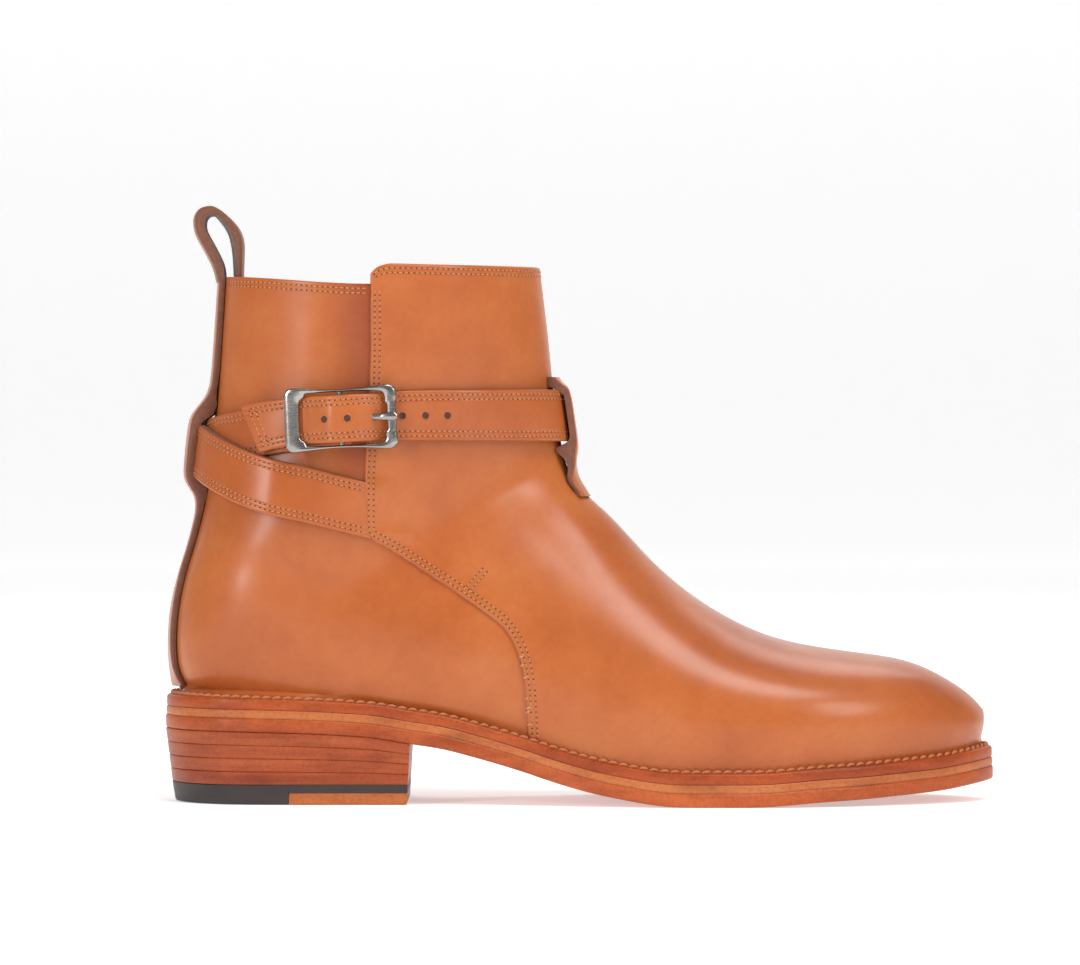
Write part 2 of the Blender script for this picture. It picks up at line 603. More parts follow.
def cut_sides(form, count):
    """Each rib runs from the lateral flap edge over the ridge to the medial one."""
    near = np.array([0, 0.1, 0.25, 0.5, 0.85, 1.3, 2.0])
    middle = form.shape[1] // 2
    rows = []
    for rib in form:
        halves = []
        for half in (rib[middle::-1], rib[middle:]):
            inside = half[:, 0] - read(FLAP_EDGE, half[:, 2])
            outside = np.flatnonzero(inside < 0)
            last = len(half) - 1.0
            if len(outside):
                k = int(outside[0])
                last = k - 1 + inside[k - 1] / (inside[k - 1] - inside[k])
            kept = between(half, np.linspace(0, last, 90))
            walked = distances(kept[:, :3])
            far = np.linspace(near[-1], walked[-1], count - len(near) + 1)[1:]
            spots = walked[-1] - np.concatenate([near, far])[::-1]
            halves.append(resampled(kept, walked, spots))
        rows.append(np.concatenate([halves[0][::-1], halves[1][1:]]))
    return np.array(rows)


def edge_distance(points):
    """Distance in the side view from the flap's edge and from the vamp's top."""
    edge = np.array([(read(FLAP_EDGE, z), z) for z in np.linspace(-5, 190, 300)])
    flat = points.reshape(-1, points.shape[-1])[:, [0, 2]]
    nearest = np.full(len(flat), 1e9)
    for start in range(0, len(edge), 50):
        gaps = flat[:, None, :] - edge[None, start : start + 50, :]
        nearest = np.minimum(nearest, np.sqrt((gaps**2).sum(axis=2)).min(axis=1))
    top = read(VAMP_TOP, flat[:, 0]) - flat[:, 1]
    corner = np.where(flat[:, 0] < 80, np.maximum(top, 0) * 0.6, np.maximum(top, 0))
    return np.minimum(nearest, corner).reshape(points.shape[:2])


def rounded(distance, radius):
    """1 inside, falling in a quarter round to 0 at an edge."""
    t = np.clip(distance / radius, 0, 1)
    return np.sqrt(np.clip(1 - (1 - t) ** 2, 0, 1))


def grid_faces(rows, columns, start=0, wrap=False):
    faces = []
    for i in range(rows - 1):
        for j in range(columns if wrap else columns - 1):
            a = start + i * columns + j
            b = start + i * columns + (j + 1) % columns
            faces.append((a, b, b + columns, a + columns))
    return faces


def shifted(faces, shift):
    return [tuple(i + shift for i in face) for face in faces]


def bar_faces(rows, columns):
    """The sides of a closed bar, then a face across its first and its last section."""
    last = range((rows - 1) * columns, rows * columns)
    return grid_faces(rows, columns, 0, True) + [tuple(range(columns))[::-1], tuple(last)]


def in_scene(name, data):
    made = bpy.data.objects.new(name, data)
    bpy.context.scene.collection.objects.link(made)
    return made


def closed_ring(lines):
    """Points and faces of a ring whose section runs through closed lines, one by one."""
    grid = np.array(lines).transpose(1, 0, 2)
    grid = np.concatenate([grid, grid[:1]])
    return grid.reshape(-1, 3), grid_faces(*grid.shape[:2], 0, True)


def make_piece(name, points, faces, looks, replaces=(), marks=None, angle=38):
    """Points in table millimetres become a piece that rides on the boot's body."""
    mesh = bpy.data.meshes.new(name)
    placed = (np.asarray(points, float) - (HEEL_CENTRE, 0, 0)) * MM
    mesh.from_pydata(placed.tolist(), [], faces)
    for look in looks:
        mesh.materials.append(look)
    if marks is not None:
        mesh.polygons.foreach_set("material_index", np.asarray(marks, dtype=np.int32))
    shape = bmesh.new()
    shape.from_mesh(mesh)
    bmesh.ops.remove_doubles(shape, verts=shape.verts, dist=2e-6)
    bmesh.ops.recalc_face_normals(shape, faces=shape.faces)
    shape.to_mesh(mesh)
    shape.free()
    for face in mesh.polygons:
        face.use_smooth = True
    mesh.set_sharp_from_angle(angle=math.radians(angle))
    piece = in_scene(name, mesh)
    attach(piece, "root")
    if replaces:
        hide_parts(*replaces)


def shell(outer, inner, skip=0):
    """Points, faces and material numbers of two grids joined at their borders.

    Where the last row lies on itself, at the toe, its two halves share their points."""
    rows, columns = outer.shape[:2]
    size = rows * columns
    points = np.concatenate([outer.reshape(-1, 3), inner.reshape(-1, 3)])
    faces = grid_faces(rows, columns)
    marks = [0] * len(faces)
    inside = grid_faces(rows, columns, size)
    faces += [face[::-1] for face in inside]
    marks += [1] * len(inside)
    rim = [(j, j + 1) for j in range(columns - 1)]
    last = (rows - 1) * columns
    closed = np.allclose(outer[-1], outer[-1][::-1], atol=0.001)
    if not closed:
        rim += [(last + j, last + j + 1) for j in range(columns - 1)]
    for i in range(skip, rows - 1):
        rim.append((i * columns, (i + 1) * columns))
        rim.append((i * columns + columns - 1, (i + 1) * columns + columns - 1))
    faces += [(a, b, b + size, a + size) for a, b in rim]
    marks += [2] * len(rim)
    if closed:
        shared = np.arange(2 * size)
        half = np.minimum(np.arange(columns), columns - 1 - np.arange(columns))
        shared[last:size] = last + half
        shared[last + size :] = last + size + half
        faces = [tuple(int(shared[i]) for i in face) for face in faces]
    return points, faces, marks


def make_quarters(form, looks):
    """Back and lower part of the upper, with its lining, open at the collar."""
    cut = cut_top(form, QUARTER_TOP, 24)
    same = np.isclose(cut[:, 0, :3], cut[:, 1, :3]).all(axis=1)
    points, normal = cut[..., :3], cut[..., 3:]
    from_top = read(QUARTER_TOP, points[..., 0]) - points[..., 2]
    edge = rounded(from_top, COLLAR_ROUNDING)
    outer = points - normal * (0.6 * (1 - edge))[..., None]
    inner = points - normal * QUARTER_WALL
    inner[0] += (0, 0, -0.25)
    points, faces, marks = shell(outer, inner, int(np.flatnonzero(same).max()) + 1)
    make_piece("quarters", points, faces, looks, ["upper"], marks)


def make_vamp(form, looks):
    """The vamp with its two flaps; returns its outer surface."""
    surface = cut_top(cut_sides(form, 70), VAMP_TOP, 24)
    points, normal = surface[..., :3], surface[..., 3:]
    distance = edge_distance(points)
    near_root = np.clip((ROOT_HALF - np.abs(points[..., 2] - ROOT_HEIGHT)) / 5.0, 0, 1)
    near_root = near_root * np.clip(1 - distance / ROOT_REACH, 0, 1)
    rise = (VAMP_STEP + ROOT_LIFT * soft_step(near_root)) * rounded(distance, 1.0)
    outer = points + normal * rise[..., None]
    inner = points - normal * (QUARTER_WALL - 0.1)
    points, faces, marks = shell(outer, inner)
    make_piece("vamp", points, faces, looks, (), marks)
    return outer


class Surface:
    """A surface to set things on, in table millimetres."""

    def __init__(self, grid):
        rows, columns = grid.shape[:2]
        points = [Vector(p) for p in grid.reshape(-1, 3)]
        self.tree = BVHTree.FromPolygons(points, grid_faces(rows, columns))

    def cast(self, start, ray, outwards):
        hit, normal = self.tree.ray_cast(start, ray)[:2]
        return hit, normal if hit is None or normal.dot(outwards) > 0 else -normal

    def from_axis(self, turn, height):
        angle = math.radians(turn)
        ray = Vector((math.cos(angle), -math.sin(angle), 0))
        return self.cast(Vector((SHAFT_AXIS_X, 0, height)), ray, ray)

    def from_side(self, x, z, side):
        outwards = Vector((0, side, 0))
        return self.cast(Vector((x, side * 200, z)), -outwards, outwards)

    def point(self, turn, height, off):
        """The point off millimetres outside the surface at a turn and height."""
        spread = [self.from_axis(turn + more, height)[0] for more in (-3, 0, 3)]
        level = (spread[2] - spread[0]).normalized()
        normal = level.cross(Vector((0, 0, 1)))
        if normal.dot(spread[1] - Vector((SHAFT_AXIS_X, 0, height))) < 0:
            normal = -normal
        return spread[1] + normal * off

    def strap_wall(self, turn, height, off):
        """The inner and the outer point of a strap there."""
        return self.point(turn, height, off), self.point(turn, height, off + STRAP_THICK)


def strap_section(width):
    """Section of a strap as (up, out), with rounded edges and a groove for each row."""
    half, thick = width / 2, STRAP_THICK
    edge = [(half - 0.5, 0.0), (half - 0.12, 0.2), (half, 0.8), (half, thick - 0.8)]
    edge += [(half - 0.15, thick - 0.3), (half - 0.5, thick - 0.06)]
    face = [(1.0, 0), (1.5, 0.02), (1.8, 0.16), (2.1, 0.02), (2.7, 0)]
    face += [(3.2, 0.02), (3.5, 0.16), (3.8, 0.02), (4.5, 0)]
    upper = edge + [(half - inset, thick - dent) for inset, dent in face]
    middle = [(half * 0.35, thick + 0.05), (0.0, thick + 0.08), (-half * 0.35, thick + 0.05)]
    lower = [(-v, n) for v, n in upper[::-1]]
    return upper + middle + lower + [(-half * 0.5, 0.0), (0.0, 0.0), (half * 0.5, 0.0)]


def strap_frames(table, count):
    """Places along a strap: turn, height, width and off, with rising turn."""
    order = table if table[-1][0] > table[0][0] else table[::-1]
    turns = np.linspace(order[0][0], order[-1][0], count)
    return [(turn,) + tuple(float(read(order, turn, c)) for c in (1, 2, 3)) for turn in turns]


def make_bar(name, rings, column_marks, end_mark, looks):
    """A closed bar from its sections. column_marks: a material number for each side."""
    grid = np.array(rings)
    marks = column_marks * (len(grid) - 1) + [end_mark] * 2
    faces = bar_faces(*grid.shape[:2])
    make_piece(name, grid.reshape(-1, 3), faces, looks, [name], marks, 45)


def make_strap(name, surface, table, looks, count, slant=0.0):
    """A strap round the shaft, thinner at its first row, where it goes under the flap.

    Returns its places: turn, height, width, off, turn more for each millimetre up, and
    the share of its thickness that is left."""
    frames = strap_frames(table, count)
    last, root = frames[-1][0], table[0][0]
    rings, lines = [], []
    for turn, height, width, off in frames:
        tip = max(0.0, 1 - (last - turn) / TIP_TURNS)
        more = slant * tip / width
        thin = 0.5 + 0.5 * min(1.0, abs(turn - root) / THIN_TURNS)
        ring = []
        for v, n in strap_section(width):
            inner, outer = surface.strap_wall(turn + more * v, height + v, off)
            ring.append(tuple(inner + (outer - inner) * (n / STRAP_THICK * thin)))
        rings.append(ring)
        lines.append((turn, height, width, off, more, thin))
    columns = len(rings[0])
    marks = [1 if j < 4 or columns - 8 < j < columns - 3 else 0 for j in range(columns)]
    make_bar(name, rings, marks, 1, looks)
    return lines


def strap_rows(surface, lines, start, end):
    """Stitch rows along a strap between two turns, as paths of point and normal."""
    paths = []
    for from_edge in STITCH_ROWS:
        for side in (-1, 1):
            path = []
            for turn, height, width, off, more, thin in lines:
                if start <= turn <= end:
                    v = side * (width / 2 - from_edge)
                    inner, outer = surface.strap_wall(turn + more * v, height + v, off)
                    out = (outer - inner).normalized()
                    path.append((inner + (outer - inner) * thin - out * STITCH_SINK, out))
            paths.append(path)
    return paths


def strip_point(surface, middle, height, width, off, flat, share):
    """A point of a strip at a share of its half-width, -1 to 1."""
    centre = surface.point(middle, height, 0)
    radius = (centre - Vector((SHAFT_AXIS_X, 0, height))).length
    spread = math.degrees(width / 2 / radius)
    curved = surface.point(middle + share * spread, height, off)
    if not flat:
        return curved
    ends = [surface.point(middle + side * spread, height, off) for side in (-1, 1)]
    heading = (ends[1] - ends[0]).normalized()
    level = surface.point(middle, height, off) + heading * share * width / 2
    return curved * (1 - flat) + level * flat


def make_strip(name, surface, table, depth, middle, width, looks, count):
    """A strip up the back or front line: looks are its face, its flesh side and its edge."""
    spots = np.linspace(0, len(table) - 1, count)
    heights = softened(np.interp(spots, range(len(table)), column(table, 0)), 3)
    passes = int(2 * (STRIP_SOFTNESS * count / abs(heights[-1] - heights[0])) ** 2)
    offs = softened(np.array([read(table, h) for h in heights]), passes)
    quarters = [k / 4 for k in range(-4, 5)]
    edge = [(1.015, 0.4), (1.01, 0.75), (0.985, 0.93), (0.94, 1.0)]
    section = [(share, 0.0) for share in quarters] + edge
    section += [(share, 1.0) for share in quarters[-2:0:-1]]
    section += [(-share, rise) for share, rise in edge[::-1]]
    rings = []
    for height, off in zip(heights, offs):
        flat = float(read(table, height, 2)) if len(table[0]) > 2 else 0.0
        deep = float(read(depth, height))
        ring = []
        for share, rise in section:
            out = off + STRIP_THICK - deep * (1 - rise)
            ring.append(tuple(strip_point(surface, middle, height, width, out, flat, share)))
        rings.append(ring)
    marks = [1 if j < 8 else 2 if j < 11 or j > 19 else 0 for j in range(len(section))]
    make_bar(name, rings, marks, 2, looks)


def sole_loop(x, z, inset):
    """A closed line round the sole at an inset: lateral side forward, medial side back."""
    lateral, medial = half_widths(x, inset)
    z = np.zeros(len(x)) + z
    far = np.stack([x, medial, z], axis=1)
    return np.concatenate([np.stack([x, lateral, z], axis=1), far[::-1]])


def loft(loops):
    """Points and faces of a layer from loops of equal length, closed below and above."""
    count = len(loops[0])
    points = np.concatenate(loops)
    faces = grid_faces(len(loops), count, 0, True)
    half = count // 2
    for start, flip in ((0, False), ((len(loops) - 1) * count, True)):
        for i in range(half - 1):
            face = (start + i, start + i + 1, start + count - 2 - i, start + count - 1 - i)
            faces.append(face[::-1] if flip else face)
    return points, faces


def layer(name, look, low, high, profile, cuts=None, count=150):
    """A layer of the sole. profile rows: inset, share of the height, millimetres more.
    cuts: where it ends below and above, if it has a straight front."""
    loops = []
    for inset, share, more in profile:
        end = cuts[0] * (1 - share) + cuts[1] * share if cuts else SOLE_LENGTH - inset
        x = inset + (end - inset) * ease(count)
        loops.append(sole_loop(x, low(x) * (1 - share) + high(x) * share + more, inset))
    points, faces = loft(loops)
    make_piece(name, points, faces, [look], [name])


def make_sole(looks):
    def outsole_top(x):
        return underside(x) + OUTSOLE_THICK

    look = looks["outsole"]
    layer("outsole", look, underside, outsole_top, OUTSOLE_PROFILE)
    look = looks["midsole"]
    layer("midsole", look, outsole_top, midsole_top, MIDSOLE_PROFILE)


def make_heel(looks):
    def level(step):
        share = step / LIFTS
        return lambda x: TOP_PIECE_HEIGHT + 0.1 + (underside(x) - TOP_PIECE_HEIGHT - 0.1) * share

    for i in range(LIFTS):
        low, high = level(i), level(i + 1)
        below, above = heel_inset(low(0.0)), heel_inset(high(0.0))
        cuts = (breast_x(low(BREAST_TOP)), breast_x(high(BREAST_TOP)))
        profile = [(below + 0.35, 0, 0.03), (below + 0.08, 0, 0.25)]
        profile += [(below * 0.9 + above * 0.1, 0, 0.6), (above * 0.9 + below * 0.1, 1, -0.55)]
        profile += [(above + 0.08, 1, -0.22), (above + 0.35, 1, 0.0)]
        name = f"heel_lift_{i + 1}"
        layer(name, looks["lift"], low, high, profile, cuts, 90)


def level_block(rows, shares):
    """A block of level loops. rows: inset, height, first and last x."""
    loops = []
    for inset, z, first, last in rows:
        loops.append(sole_loop(first + (last - first) * shares, z, inset))
    return loft(loops)


def make_top_piece(looks):
    """Rubber under the heel in two joined blocks, with the leather insert at its front."""
    low, high = heel_inset(0.0), heel_inset(TOP_PIECE_HEIGHT)
    top = [(high, TOP_PIECE_HEIGHT - 0.2), (high + 0.15, TOP_PIECE_HEIGHT + 0.05)]
    back = [(low + 1.5, 0.0), (low + 0.5, 0.2), (low + 0.1, 0.9), (low, 1.8)] + top
    front = [(low + 0.1, INSERT_HEIGHT + 0.05), (low, INSERT_HEIGHT + 0.25)] + top
    back = [(inset, z, inset, INSERT_START) for inset, z in back]
    front = [(inset, z, INSERT_START - 0.5, breast_x(z)) for inset, z in front]
    points, faces = level_block(back, ease(70))
    more_points, more_faces = level_block(front, ease(70))
    faces += shifted(more_faces, len(points))
    points = np.concatenate([points, more_points])
    make_piece("top_piece", points, faces, [looks["rubber"]], ["top_piece"])
    rows = []
    for more, z in ((0.3, 0.0), (0.0, 0.3), (0.0, INSERT_HEIGHT - 0.2), (0.2, INSERT_HEIGHT + 0.1)):
        rows.append((low + more, z, INSERT_START + 0.1 + more, breast_x(z) - more * 0.5))
    points, faces = level_block(rows, np.linspace(0, 1, 40))
    name = "top_piece_insert"
    make_piece(name, points, faces, [looks["insert"]], [name])


def welt_rings(count=420):
    """The welt's outer and inner edge as closed lines, the way across and its width."""
    rings = []
    for inset in (WELT_OUTER_INSET, WELT_INNER_INSET):
        x = inset + (SOLE_LENGTH - 2 * inset) * ease(count)
        lateral, medial = half_widths(x, inset)
        far = np.stack([x, medial], axis=1)
        rings.append(np.concatenate([np.stack([x, lateral], axis=1), far[-2:0:-1]]))
    across = rings[1] - rings[0]
    width = np.linalg.norm(across, axis=1)
    return rings[0], rings[1], across / np.maximum(width, 1e-6)[:, None], width


def make_welt(looks):
    """The welt as a ring with a rounded outer edge, whose top slopes up to the upper."""
    outer, inner, across, width = welt_rings()
    low = midsole_top(outer[:, 0])
    high, top = low + WELT_THICK, welt_top(inner[:, 0])
    edge = [(0.6, 0.1), (0.25, 0.35), (0.1, 0.9), (0.1, WELT_THICK - 1.0)]
    edge += [(0.3, WELT_THICK - 0.35), (0.75, WELT_THICK - 0.02)]
    grid = [np.column_stack([outer + across * inset, low + z]) for inset, z in edge]
    for share in (0.3, 0.5, 0.7, 0.85, 1.0):
        spot = outer + across * (width * share)[:, None]
        grid.append(np.column_stack([spot, high * (1 - share) + top * share]))
    grid.append(np.column_stack([inner, midsole_top(inner[:, 0]) + 0.2]))
    points, faces = closed_ring(grid)
    make_piece("welt", points, faces, [looks["welt"]], ["welt"])


def make_pull_loop(looks):
    """The loop from its outer foot round to the foot inside the collar, edges rounded."""
    spots = np.linspace(0, len(PULL_LOOP) - 1, 150)
    lines = row_curves(PULL_LOOP, spots)
    outer = softened(np.stack(lines[:2], axis=1), 30)
    inner = softened(np.stack(lines[2:], axis=1), 30)
    across = [-1, -0.97, -0.9, -0.6, -0.3, 0, 0.3, 0.6, 0.9, 0.97, 1]
    sink = [0.45, 0.12, 0, 0, 0, 0, 0, 0, 0, 0.12, 0.45]
    rings = []
    for start, end in zip(outer, inner):
        ring = []
        for here, there, order, less in ((start, end, across, 1), (end, start, across[::-1], 0.9)):
            for share, down in zip(order, sink):
                x, z = here + (there - here) * down * less
                ring.append((x + PULL_LOOP_BOW * share**2, PULL_LOOP_WIDTH / 2 * share, z))
        rings.append(ring)
    marks = [0 if 2 <= j < 8 else 1 if 12 <= j < 20 else 2 for j in range(22)]
    looks = [looks["loop"], looks["flesh"], looks["dark_edge"]]
    make_bar("pull_loop", rings, marks, 2, looks)


def buckle_axes(surface):
    """The buckle's place: its centre, and its length, up and outward directions."""
    x, z = BUCKLE_CENTRE
    ends = [surface.point(turn, z, 0) for turn in (77, 129)]
    length = (ends[0] - ends[1]).normalized()
    out = length.cross(Vector((0, 0, 1))).normalized()
    if out.y > 0:
        out = -out
    length = (length + Vector((0, 0, 0.045))).normalized()
    up = out.cross(length).normalized()
    if up.z < 0:
        up = -up
    middle = surface.point(111, z, 0)
    centre = Vector((x, middle.y, z)) + out * BUCKLE_LIFT
    return centre, length, up, out


def buckle_outline():
    """The upper half of the frame's outer and inner line, as (along, up)."""
    half_u, half_v = BUCKLE_SIZE[0] / 2, BUCKLE_SIZE[1] / 2
    outer = [
        (half_u, 0), (half_u - 0.35, 4.2), (half_u - 0.35, 5.6), (half_u, 7.6), (half_u, 9.2),
        (half_u - 1.0, 10.8), (half_u - 2.8, half_v), (half_u - 6.0, half_v - 0.15),
        (8.0, half_v - 0.75), (0.0, half_v - 1.05), (-8.0, half_v - 0.75),
        (-half_u + 6.0, half_v - 0.15), (-half_u + 2.6, half_v), (-half_u + 0.9, 10.9),
        (-half_u, 9.2), (-half_u, 6.0), (-half_u, 0),
    ]
    right, left = half_u - RIGHT_BAR, -half_u + LEFT_BAR
    inner = [
        (right + 0.5, 0), (right + 0.6, 4.6), (right - 0.2, 5.5), (right - 0.2, 7.4),
        (right - 0.9, 8.9), (right - 2.6, 9.35), (right - 4.6, 9.45), (right - 7.0, 9.5),
        (5.5, 9.6), (0.0, 9.65), (-5.5, 9.6), (left + 5.0, 9.5), (left + 2.4, 9.3),
        (left + 2.0, 8.3), (left + 0.8, 7.3), (left + 0.1, 6.2), (left, 0),
    ]
    return outer, inner


def closed_line(upper):
    """Mirrors the upper half of a closed line below and rounds it."""
    lower = [(u, -v) for u, v in upper[::-1][1:-1]]
    points = np.array(upper + lower, float)
    count = len(points)
    spots = np.linspace(0, count, count * 8, endpoint=False)
    wrapped = np.concatenate([points[-3:], points, points[:3]])
    line = np.stack([smooth(np.arange(-3, count + 3), wrapped[:, c], spots) for c in (0, 1)], axis=1)
    for _ in range(4):
        line = (np.roll(line, 1, axis=0) + 2 * line + np.roll(line, -1, axis=0)) / 4
    return line


def make_buckle(surface, looks):
    axes = buckle_axes(surface)
    centre, length, up, out = [np.array(v) for v in axes]
    outer, inner = (closed_line(line) for line in buckle_outline())
    shares = [0.0, 0.04, 0.12, 0.25, 0.4, 0.5, 0.6, 0.75, 0.88, 0.96, 1.0]
    grid = []
    for first, second, side in ((outer, inner, 1), (inner, outer, -1)):
        for share in shares:
            swell = (1 - abs(2 * share - 1) ** 2.6) ** 0.5
            rise = side * BUCKLE_THICK / 2 * (0.15 + 0.85 * swell)
            line = first * (1 - share) + second * share
            grid.append(centre + line[:, :1] * length + line[:, 1:] * up + rise * out)
    points, faces = closed_ring(grid)
    path = [centre + up * v - out * 0.6 for v in np.linspace(-10.2, 10.2, 12)]
    bar_points, more_faces = tube(path, [CENTRE_BAR_RADIUS] * len(path), length)
    faces += shifted(more_faces, len(points))
    looks = [looks["metal"]]
    name = "buckle_frame"
    points = np.concatenate([points, bar_points])
    make_piece(name, points, faces, looks, [name], None, 60)
    make_prong(axes, looks)


def tube(path, radii, side, flat=1.0, count=16):
    """Round bar along a path. side is one direction of its sections."""
    path = np.array([np.array(p) for p in path])
    side = np.array(side, float)
    points = []
    for p, t, r in zip(path, unit(np.gradient(path, axis=0)), radii):
        a = side - t * side.dot(t)
        a /= np.linalg.norm(a)
        b = np.cross(t, a)
        points += [p + a * r * u + b * r * flat * v for u, v in circle(count)]
    return points, bar_faces(len(path), count)


def make_prong(axes, looks):
    centre, length, up, out = axes
    rows = [
        (0.9, -0.4, 1.5), (2.2, -0.5, 1.5), (4.4, -0.9, 1.3), (7.0, -1.1, 1.15), (10.0, -0.3, 1.1),
        (13.0, 1.3, 1.15), (15.6, 2.3, 1.35), (18.0, 2.5, 1.55), (19.6, 2.5, 1.6),
        (20.4, 2.45, 1.25),
    ]
    spots = np.linspace(0, len(rows) - 1, 50)
    along, rise, radius = row_curves(rows, spots)
    path = [centre + length * a + out * n for a, n in zip(along, rise)]
    points, faces = tube(path, radius, up, 0.62)
    name = "buckle_prong"
    make_piece(name, points, faces, looks, [name], None, 60)


def stitch_shape(count_along=5, count_round=6):
    """One stitch lying along x: a thread that dips into the leather at both ends."""
    points = []
    for s in np.linspace(-1, 1, count_along):
        thick = math.sqrt(max(0.0, 1 - (0.86 * s) ** 2))
        points += [(s, u * thick, v * thick, 1 - s * s) for u, v in circle(count_round)]
    return np.array(points), bar_faces(count_along, count_round)


def walk(path, pitch):
    """Even steps along a path of (point, normal): places, headings and normals."""
    points = np.array([tuple(p) for p, _ in path])
    normals = np.array([tuple(n) for _, n in path])
    walked = distances(points)
    count = max(2, int(round(walked[-1] / pitch)))
    spots = (np.arange(count) + 0.5) * walked[-1] / count
    before, after = (resampled(points, walked, spots + more) for more in (-0.4, 0.4))
    heading = unit(after - before)
    normal = resampled(normals, walked, spots)
    normal -= heading * (normal * heading).sum(axis=1)[:, None]
    return resampled(points, walked, spots), heading, unit(normal)


def make_along(name, paths, pitch, look, shape, set_one):
    """One joined piece of a small shape, set at even steps along some paths."""
    shape_points, shape_faces = shape
    points, faces = [], []
    for path in paths:
        if len(path) > 1:
            for p, t, n in zip(*walk(path, pitch)):
                faces += shifted(shape_faces, len(points) * len(shape_points))
                points.append(set_one(p, t, np.cross(n, t), n))
    make_piece(name, np.concatenate(points), faces, [look], (), None, 80)


def make_holes(name, paths, look, pitch, radius=0.42, above=0.05, count=8):
    """A dark needle hole between every two stitches, domed so that nothing shines in it."""
    points = [(0.0, 0.0, 0.0)] + [(radius * u, radius * v, -0.02) for u, v in circle(count)]
    u, v, rise = np.hsplit(np.array(points), 3)
    faces = [(0, k + 1, (k + 1) % count + 1) for k in range(count)]

    def hole(p, t, b, n):
        return p + t * pitch / 2 + n * above + u * t + v * b * 0.8 + rise * n

    make_along(name, paths, pitch, look, (points, faces), hole)


def make_stitches(name, paths, look, pitch=2.1, length=1.6, radius=0.3, lift=0.1, twist=0.0):
    """All stitches of some rows as one joined piece."""
    shape = stitch_shape()
    along, side, rise, middle = np.hsplit(shape[0], 4)

    def stitch(p, t, b, n):
        t = t * math.cos(twist) + b * math.sin(twist)
        b = np.cross(n, t)
        place = p + along * t * length / 2 + side * b * radius
        return place + (rise * radius + (middle - 0.55) * lift) * n

    make_along(name, paths, pitch, look, shape, stitch)


def flap_line(inset):
    """The flap's edge in the side view, moved into the vamp by inset, from the collar down."""
    z = np.linspace(187.0, 24.0, 260)
    edge = np.stack([read(FLAP_EDGE, z), z], axis=1)
    heading = unit(np.gradient(edge, axis=0))
    return edge + np.stack([-heading[:, 1], heading[:, 0]], axis=1) * inset


def side_path(surface, line, side):
    path = []
    for x, z in line:
        hit, normal = surface.from_side(x, z, side)
        if hit is not None:
            path.append((hit, normal))
    return path


def collar_path(surface, top, below, turns):
    """A path below a top line, at the given turns round the shaft."""
    path = []
    for turn in turns:
        height = 190.0
        for _ in range(6):
            hit, normal = surface.from_axis(turn, height)
            if hit is None:
                break
            height = float(read(top, hit.x)) - below
        if hit is not None:
            path.append((hit, normal))
    return path


def upper_stitches(quarters, vamp, thread, hole):
    rows = []
    for inset in FLAP_ROWS:
        for side in (-1, 1):
            rows.append(side_path(vamp, flap_line(inset), side))
    for below in COLLAR_ROWS:
        turns = np.arange(-96 + below, 96.1 - below, 1.5)
        rows.append(collar_path(vamp, VAMP_TOP, below, turns))
        for start in (97.5, 190):
            turns = np.arange(start, start + 73, 2)
            rows.append(collar_path(quarters, QUARTER_TOP, below, turns))
    make_stitches("upper_stitches", rows, thread, STITCH_PITCH)
    make_holes("upper_needle_holes", rows, hole, STITCH_PITCH)
    rows = []
    for side in (-1, 1):
        for shift in (-0.8, 0.8):
            start = (110.8 + shift, 77.6 - shift * 0.8)
            end = (117.6 + shift, 85.2 - shift * 0.8)
            rows.append(side_path(vamp, np.linspace(start, end, 10), side))
    make_stitches("tack_stitches", rows, thread, 1.8, 1.5, 0.34)
    make_holes("tack_needle_holes", rows, hole, 1.8)


def edge_nicks(vamp, flesh):
    """A few frayed fibres on the flap's edge near the welt, where it was trimmed by hand."""
    rows = []
    for z, reach in EDGE_NICKS:
        edge = float(read(FLAP_EDGE, z))
        line = np.linspace((edge - 0.7, z), (edge - 0.7 + reach, z + 0.8), 5)
        rows.append(side_path(vamp, line, -1))
    make_stitches("edge_nicks", rows, flesh, 2.6, 1.5, 0.26)


def make_strap_holes(surface, looks):
    """Punched holes along the strap's middle, each a dark cup with a pressed rim."""
    points, faces, marks = [], [], []
    rows = [(1.3, 0.04), (1.16, 0.2), (1.04, 0.26), (0.96, 0.26), (0.9, 0.2), (0.0, 0.2)]
    count = 20
    tops = []
    for turn, height, _, off in strap_frames(WRAP_STRAP, 1600):
        if 400 < turn < 495:
            tops.append(surface.point(turn, height, off + STRAP_THICK))
    for hole_x in STRAP_HOLES:
        nearest = min(range(len(tops)), key=lambda i: abs(tops[i].x - hole_x))
        heading = (tops[nearest + 6] - tops[nearest - 6]).normalized()
        out = heading.cross(Vector((0, 0, 1))).normalized()
        out = -out if out.y > 0 else out
        up = out.cross(heading).normalized()
        ring = grid_faces(len(rows), count, len(points), True)
        for share, rise in rows:
            for u, v in circle(count):
                flat = heading * u + up * v
                points.append(tops[nearest] + flat * HOLE_RADIUS * share + out * rise)
        faces += ring
        marks += [0 if i < 3 * count else 1 for i in range(len(ring))]
    looks = [looks["strap"], looks["hole"]]
    make_piece("strap_holes", points, faces, looks, (), marks, 60)


def tip_rows(surface, lines):
    """Stitch rows across the strap's slanted tip."""
    turn, height, width, off = lines[-1][:4]
    paths = []
    for from_end in (2.6, 4.9):
        path = []
        for v in np.linspace(-width / 2 + 2.2, width / 2 - 2.2, 12):
            place = turn - from_end + TIP_SLANT * v / width
            inner, outer = surface.strap_wall(place, height + v, off)
            path.append((outer, (outer - inner).normalized()))
        paths.append(path)
    return paths


